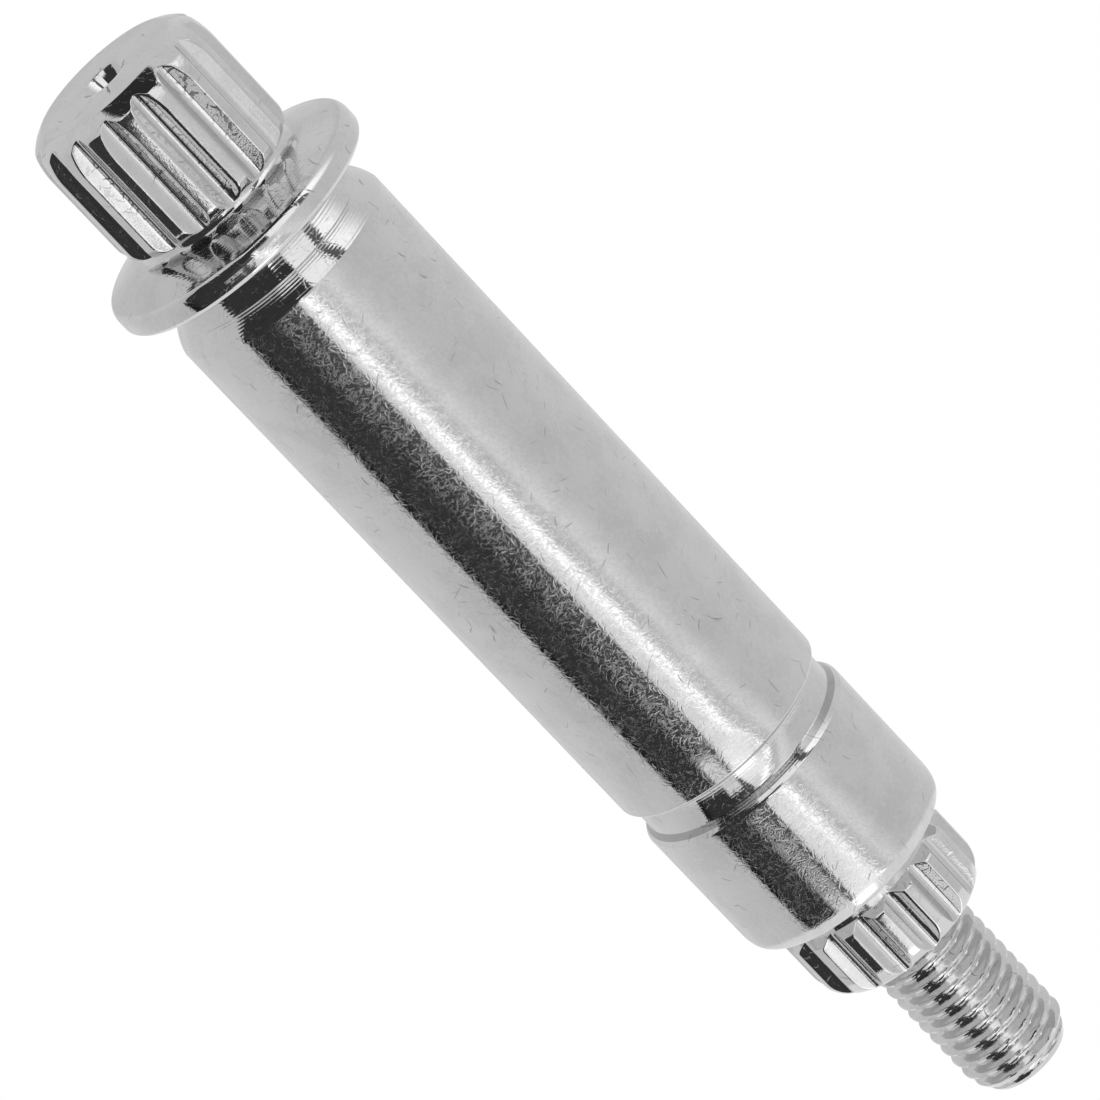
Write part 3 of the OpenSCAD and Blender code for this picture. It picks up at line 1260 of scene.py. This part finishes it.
@dataclass
class DriveShaft:
    """The finished shaft: its blank, its rolled teeth and thread, and its finishes."""

    blank: TurnedBlank = field(default_factory=TurnedBlank)
    root_radius: float = 9.2
    crest_width: float = 1.15
    flank_angle: float = 36.0
    edge_round: float = 0.2
    thread_depth: float = 1.07
    thread_phase: float = -0.11
    thread_run_in: float = 1.4
    thread_crest_share: float = 0.12
    thread_root_share: float = 0.2
    thread_seam_depth: float = 0.03
    sharp_angle: float = 32.0

    def finishes(self) -> list[bpy.types.Material]:
        """Materials in the order of Zone."""
        kit = FinishKit()
        made = (
            ZincFinish("ground_zinc"),
            ZincFinish("turned_zinc", line_depth=0.0000025, line_pitch=0.00031, scratch_amount=0.5),
            ZincFinish("rolled_zinc", scratch_amount=0.25, crest_rough=0.1, crest_grain=0.00002),
            ZincFinish("thread_zinc", smooth=0.08, rough=0.14, scratch_amount=0.4),
            ZincFinish(
                "banded_zinc", line_depth=0.000012, line_pitch=0.00044, line_evenness=0.9, scratch_amount=0.5
            ),
            ZincFinish("seat_zinc", scratch_amount=0.25, crest_rough=0.04, crest_grain=0.000006),
            # The groove wall's darker colour is painted shade: it darkens the recess where shade falls.
            ZincFinish("groove_zinc_painted_shade", (0.4, 0.4, 0.4), (0.36, 0.36, 0.36), line_depth=0.000006, rough=0.3),
            ZincFinish(
                "faced_zinc", smooth=0.07, rough=0.11,
                line_depth=0.000003, line_pitch=0.0005, scratch_amount=0.5,
            ),
        )
        return [finish.make(kit) for finish in made]

    def roll_teeth(self, piece: bpy.types.Object, finishes: list[bpy.types.Material]) -> None:
        """Rolls both splines.

        Args:
            piece: The blank.
            finishes: Materials in the order of Zone.
        """
        tree = ToothTree()
        splines = (
            (Form.HEAD_TEETH, self.blank.head_radius, finishes[Zone.ROLLED]),
            (Form.HUB_TEETH, self.blank.hub_radius, finishes[Zone.SEAT]),
        )
        for form, crest, finish in splines:
            tree.attach(piece, {
                "Tooth Count": float(self.blank.tooth_count),
                "Crest Radius": crest * MM,
                "Root Radius": self.root_radius * MM,
                "Crest Width": self.crest_width * MM,
                "Flank Angle": math.radians(self.flank_angle),
                "Edge Round": self.edge_round * MM,
                "Form": int(form),
                "Finish": finish,
            })

    def roll_thread(self, piece: bpy.types.Object, finish: bpy.types.Material) -> None:
        """Rolls the thread.

        Args:
            piece: The blank.
            finish: The finish of the thread.
        """
        ThreadTree().attach(piece, {
            "Outside Radius": self.blank.thread_radius * MM,
            "Pitch": self.blank.thread_pitch * MM,
            "Depth": self.thread_depth * MM,
            "Start": self.blank.hub_top * MM,
            "Phase": self.thread_phase,
            "Run-in": self.thread_run_in * MM,
            "Crest Share": self.thread_crest_share,
            "Root Share": self.thread_root_share,
            "Seam Depth": self.thread_seam_depth * MM,
            "Form": int(Form.THREAD),
            "Finish": finish,
        })

    def build(self) -> bpy.types.Object:
        """Builds the shaft as one closed mesh and stands it in for the CAD node.

        Returns:
            The shaft.
        """
        blank = self.blank.build()
        finishes = self.finishes()
        for finish in finishes:
            blank.data.materials.append(finish)
        self.roll_teeth(blank, finishes)
        self.roll_thread(blank, finishes[Zone.THREADED])
        shaft = self.settle(blank)
        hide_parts(NODE)
        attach(shaft, "root")
        LOG.info("%s: %d faces", shaft.name, len(shaft.data.polygons))
        return shaft

    def settle(self, blank: bpy.types.Object) -> bpy.types.Object:
        """Turns the rolled blank into a plain mesh.

        Args:
            blank: The blank with its modifiers.

        Returns:
            The same object with the result as its mesh.
        """
        graph = bpy.context.evaluated_depsgraph_get()
        mesh = bpy.data.meshes.new_from_object(blank.evaluated_get(graph))
        blank.modifiers.clear()
        blank.data = mesh
        mesh.shade_smooth()
        mesh.set_sharp_from_angle(angle=math.radians(self.sharp_angle))
        return blank


@dataclass
class PhotoCamera:
    """The camera at the photograph's viewing angle, in pixels of the 1100 x 1100 picture and in metres."""

    side: float = 1100.0
    focal: float = 7150.0
    distance: float = 0.7013
    target: float = 0.0658
    tilt: float = 20.5
    slant: tuple[float, float] = (0.68695, -0.72671)
    azimuth: float = CAMERA_AZIMUTH

    def build(self) -> bpy.types.Object:
        """Adds the camera and makes it the scene's own.

        Returns:
            The camera.
        """
        tilt, azimuth = math.radians(self.tilt), math.radians(self.azimuth)
        axis = Vector((math.cos(tilt) * self.slant[0], math.cos(tilt) * self.slant[1], -math.sin(tilt)))
        front = (Vector((0, 0, 1)) + math.sin(tilt) * axis) / math.cos(tilt)
        side = axis.cross(front)
        world = (Vector((0, 0, 1)), Vector((math.cos(azimuth), math.sin(azimuth), 0)))
        world = (*world, world[0].cross(world[1]))
        turn = Matrix.Diagonal((0, 0, 0))
        for there, here in zip(world, (axis, front, side)):
            for row in range(3):
                for column in range(3):
                    turn[row][column] += there[row] * here[column]
        lens = bpy.data.cameras.new("photo_camera")
        lens.sensor_width = 36.0
        lens.lens = self.focal / self.side * lens.sensor_width
        lens.clip_start = 0.01
        lens.clip_end = 50.0
        camera = bpy.data.objects.new("photo_camera", lens)
        place = Vector((0, 0, self.target)) + turn @ Vector((0, 0, self.distance))
        camera.matrix_world = Matrix.Translation(place) @ turn.to_4x4()
        bpy.context.scene.collection.objects.link(camera)
        bpy.context.scene.camera = camera
        LOG.info("camera at %s", tuple(round(v, 4) for v in place))
        return camera


LEAN_HEIGHTS = (14.0, 30.0)
LEAN_MIDDLE = 20.3
GAP_TOP = 31.0


@dataclass(frozen=True)
class TentPanel:
    """A panel of the light tent, placed in degrees from the camera and from the horizon.

    The edges lean by so many degrees for each degree of height, within LEAN_HEIGHTS.
    """

    start: float
    end: float
    level: float
    soft: tuple[float, float] = (2.0, 2.0)
    lean: tuple[float, float] = (0.0, 0.0)
    low: float = -120.0
    high: float = 120.0
    soft_height: float = 4.0

    def over(self, turn: Formula, rise: Formula, level: Formula) -> Formula:
        """Lays the panel over what stands behind it.

        Args:
            turn: Direction round the axis, in degrees from the camera.
            rise: Height of the direction above the horizon, in degrees.
            level: Brightness behind the panel.

        Returns:
            Brightness with the panel.
        """
        height = rise.most(LEAN_HEIGHTS[0]).least(LEAN_HEIGHTS[1]) - LEAN_MIDDLE
        first, last = (turn - height * lean for lean in self.lean)
        mask = first.step(self.start - self.soft[0], self.start + self.soft[0])
        mask = mask * last.step(self.end + self.soft[1], self.end - self.soft[1])
        mask = mask * rise.step(self.low - self.soft_height, self.low + self.soft_height)
        mask = mask * rise.step(self.high + self.soft_height, self.high - self.soft_height)
        return level * (1.0 - mask) + mask * self.level


@dataclass
class Studio:
    """A white light tent with a dark gap, a pale floor and one soft lamp; angles in degrees.

    The walls stand round the shaft and the roof closes over the gap. The low cards show in slopes that
    face down. The head and hub cards are low strips that only the crests of those splines mirror squarely.
    Each panel covers those before it.
    """

    azimuth: float = CAMERA_AZIMUTH
    tent: float = 0.80
    walls: tuple[TentPanel, ...] = (
        TentPanel(-88.0, -46.0, 0.73, (25.0, 8.0)),
        TentPanel(-33.0, -21.5, 1.0, (9.0, 3.0), (-1.5, -1.5)),
        TentPanel(-20.0, -8.0, 0.76, (2.5, 2.0), (-1.5, -1.9)),
        TentPanel(-7.0, 16.0, 1.03, (1.2, 1.0), (-1.9, 0.6)),
        TentPanel(-6.1, 2.6, 1.75, (0.8, 1.5), (-1.9, -1.9)),
        TentPanel(73.0, 105.0, 0.72, (2.0, 25.0)),
        TentPanel(158.0, 220.0, 0.72),
        TentPanel(-220.0, -165.0, 0.72),
    )
    roof: tuple[TentPanel, ...] = (
        TentPanel(-220.0, 220.0, 1.0, low=GAP_TOP, soft_height=2.0),
        TentPanel(-6.0, 21.0, 2.1, (6.0, 3.0), low=GAP_TOP, high=56.0, soft_height=2.0),
    )
    low_cards: tuple[TentPanel, ...] = (
        TentPanel(-82.0, -52.0, 1.5, (20.0, 1.0), low=-56.0, high=-7.0),
        TentPanel(-52.0, -40.0, 0.14, (1.0, 1.0), low=-56.0, high=-7.0),
        TentPanel(-40.0, -6.0, 1.25, (1.0, 1.0), low=-56.0, high=-7.0),
    )
    gap: tuple[TentPanel, ...] = (
        TentPanel(13.6, 73.2, 0.045, (0.6, 0.7), (0.6, -0.15), low=-50.0, high=GAP_TOP, soft_height=2.0),
        TentPanel(-7.5, 20.0, 0.045, (1.0, 1.0), low=-46.0, high=-9.0),
        TentPanel(-40.0, 24.0, 1.2, (1.0, 2.0), low=-60.0, high=-46.0),
        TentPanel(13.6, 15.0, 0.2, (0.6, 26.0), (0.6, 0.6), low=-2.0, high=GAP_TOP, soft_height=2.0),
        TentPanel(67.0, 73.2, 0.015, (5.0, 0.7), (-0.15, -0.15), low=-2.0, high=GAP_TOP, soft_height=2.0),
    )
    head_cards: tuple[TentPanel, ...] = (
        TentPanel(-14.0, 17.0, 1.4, (2.0, 2.0), low=14.9, high=16.75, soft_height=0.15),
        TentPanel(22.0, 38.0, 0.8, (2.0, 2.0), low=14.9, high=16.75, soft_height=0.15),
    )
    hub_cards: tuple[TentPanel, ...] = (
        TentPanel(-14.0, 15.0, 1.28, (2.0, 2.0), low=23.95, high=GAP_TOP, soft_height=0.1),
        TentPanel(22.0, 38.0, 0.95, (2.0, 2.0), low=23.95, high=GAP_TOP, soft_height=0.1),
    )
    under_shade: float = 0.035
    under_reach: tuple[float, float] = (-0.55, 0.68)
    under_side: float = -0.13
    under_lean: float = -0.12
    under_half: float = 0.32
    under_flare: float = 0.15
    under_edge: Point = (1.12, 0.94)
    under_soft: float = 0.06
    under_fade: Point = (-0.3, -0.4)
    under_least: float = 0.2
    floor_side: float = 4.0
    floor_colour: tuple[float, float, float] = (0.8, 0.8, 0.8)
    lamp_power: float = 6.0
    lamp_side: float = 0.6
    lamp_place: tuple[float, float, float] = (0.35, -0.45, 0.9)

    def tent_level(self, x: Formula, y: Formula, z: Formula) -> Formula:
        """Brightness of the tent in a direction.

        Args:
            x: First part of the direction.
            y: Second part of the direction.
            z: Third part of the direction.

        Returns:
            The brightness.
        """
        whole = (y.angle_with(x) - math.radians(self.azimuth)) / (2 * math.pi) + 0.5
        turn = (whole.fraction() - 0.5) * 360.0
        rise = z.arcsine() * math.degrees(1)
        level = turn * 0.0 + self.tent
        for panel in (
            *self.walls, *self.roof, *self.low_cards, *self.gap, *self.head_cards, *self.hub_cards
        ):
            level = panel.over(turn, rise, level)
        under = self.under_mask(x, y, z)
        return level * (1.0 - under) + under * self.under_shade

    def under_mask(self, x: Formula, y: Formula, z: Formula) -> Formula:
        """Mask of the dark opening under the tent, which widens toward the camera.

        Args:
            x: First part of the direction.
            y: Second part of the direction.
            z: Third part of the direction.

        Returns:
            The mask.
        """
        ahead, aside = math.cos(math.radians(self.azimuth)), math.sin(math.radians(self.azimuth))
        depth = (z * -1.0).most(self.under_least)
        reach = (x * ahead + y * aside) / depth
        across = (y * ahead - x * aside) / depth - reach * self.under_lean - self.under_side
        inside = (across / (reach * self.under_flare + self.under_half)).size().step(*self.under_edge)
        (start, end), soft = self.under_reach, self.under_soft
        inside = inside * reach.step(start - soft, start + soft) * reach.step(end + soft, end - soft)
        return inside * z.step(*self.under_fade)

    def build_world(self) -> bpy.types.World:
        """Makes the light tent.

        Returns:
            The world.
        """
        world = bpy.data.worlds.new("light_tent")
        world.use_nodes = True
        tree = world.node_tree
        light = next(n for n in tree.nodes if n.type == "BACKGROUND")
        direction = tree.nodes.new("ShaderNodeTexCoord").outputs["Generated"]
        split = tree.nodes.new("ShaderNodeSeparateXYZ")
        tree.links.new(direction, split.inputs["Vector"])
        level = self.tent_level(*(Formula(tree, socket) for socket in split.outputs))
        path = tree.nodes.new("ShaderNodeLightPath")
        camera = Formula(tree, path.outputs["Is Camera Ray"])
        glossy = Formula(tree, path.outputs["Is Glossy Ray"])
        lit = glossy * level + (1.0 - glossy) * self.tent
        tree.links.new((camera + (1.0 - camera) * lit).socket, light.inputs["Strength"])
        light.inputs["Color"].default_value = (1.0, 1.0, 1.0, 1.0)
        bpy.context.scene.world = world
        return world

    def build_floor(self) -> bpy.types.Object:
        """Makes the floor, which shows from above only.

        Returns:
            The floor.
        """
        half = self.floor_side / 2
        mesh = bpy.data.meshes.new("studio_floor")
        corners = [(-half, -half, 0), (half, -half, 0), (half, half, 0), (-half, half, 0)]
        mesh.from_pydata(corners, [], [(0, 1, 2, 3)])
        floor = bpy.data.objects.new("studio_floor", mesh)
        material = bpy.data.materials.new("studio_floor")
        material.use_nodes = True
        tree = material.node_tree
        matte = next(n for n in tree.nodes if n.type == "BSDF_PRINCIPLED")
        matte.inputs["Base Color"].default_value = (*self.floor_colour, 1.0)
        matte.inputs["Roughness"].default_value = 0.9
        clear = tree.nodes.new("ShaderNodeBsdfTransparent")
        choose = tree.nodes.new("ShaderNodeMixShader")
        tree.links.new(tree.nodes.new("ShaderNodeNewGeometry").outputs["Backfacing"], choose.inputs[0])
        tree.links.new(matte.outputs[0], choose.inputs[1])
        tree.links.new(clear.outputs[0], choose.inputs[2])
        end = next(n for n in tree.nodes if n.type == "OUTPUT_MATERIAL")
        tree.links.new(choose.outputs[0], end.inputs["Surface"])
        mesh.materials.append(material)
        floor.visible_glossy = False
        bpy.context.scene.collection.objects.link(floor)
        return floor

    def build_lamp(self) -> bpy.types.Object:
        """Makes the soft lamp that gives the floor its shadow.

        Returns:
            The lamp.
        """
        light = bpy.data.lights.new("soft_lamp", "AREA")
        light.size = self.lamp_side
        light.energy = self.lamp_power
        lamp = bpy.data.objects.new("soft_lamp", light)
        place = Vector(self.lamp_place)
        lamp.matrix_world = Matrix.Translation(place) @ place.to_track_quat("Z", "Y").to_matrix().to_4x4()
        lamp.visible_glossy = False
        bpy.context.scene.collection.objects.link(lamp)
        return lamp


def main() -> None:
    """Builds the camera, the studio and the shaft."""
    logging.basicConfig(level=logging.INFO, format="%(name)s: %(message)s")
    bpy.context.scene.view_settings.view_transform = "Standard"
    PhotoCamera().build()
    studio = Studio()
    studio.build_world()
    studio.build_floor()
    studio.build_lamp()
    DriveShaft().build()


if __name__ == "__main__":
    main()
